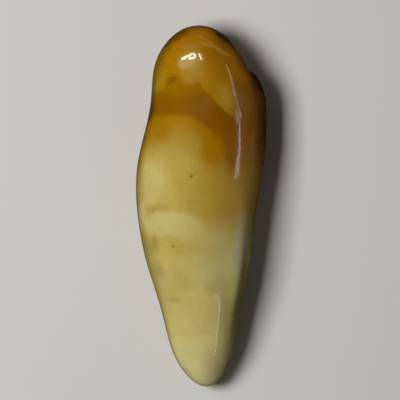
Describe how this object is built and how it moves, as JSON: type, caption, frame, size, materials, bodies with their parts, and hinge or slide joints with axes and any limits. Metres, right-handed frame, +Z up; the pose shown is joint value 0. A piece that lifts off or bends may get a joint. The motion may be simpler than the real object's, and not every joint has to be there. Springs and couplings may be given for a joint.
{
  "type": "walrus tusk",
  "caption": "Short, stout polished walrus tusk lying on its side: amber-brown rounded root end with a side ridge and furrow, pale yellow-cream blunt tip.",
  "frame": {"origin": "middle of the tusk's footprint box, on the surface that it lies on", "axes": "+Y along the tusk from the tip towards the root end, +Z up out of the surface that it lies on, +X towards the side that carries the ridge"},
  "size_m": [0.0434, 0.12, 0.0317],
  "materials": {
    "ivory": "polished"
  },
  "bodies": {
    "root": {"tusk": "ivory"}
  },
  "joints": []
}
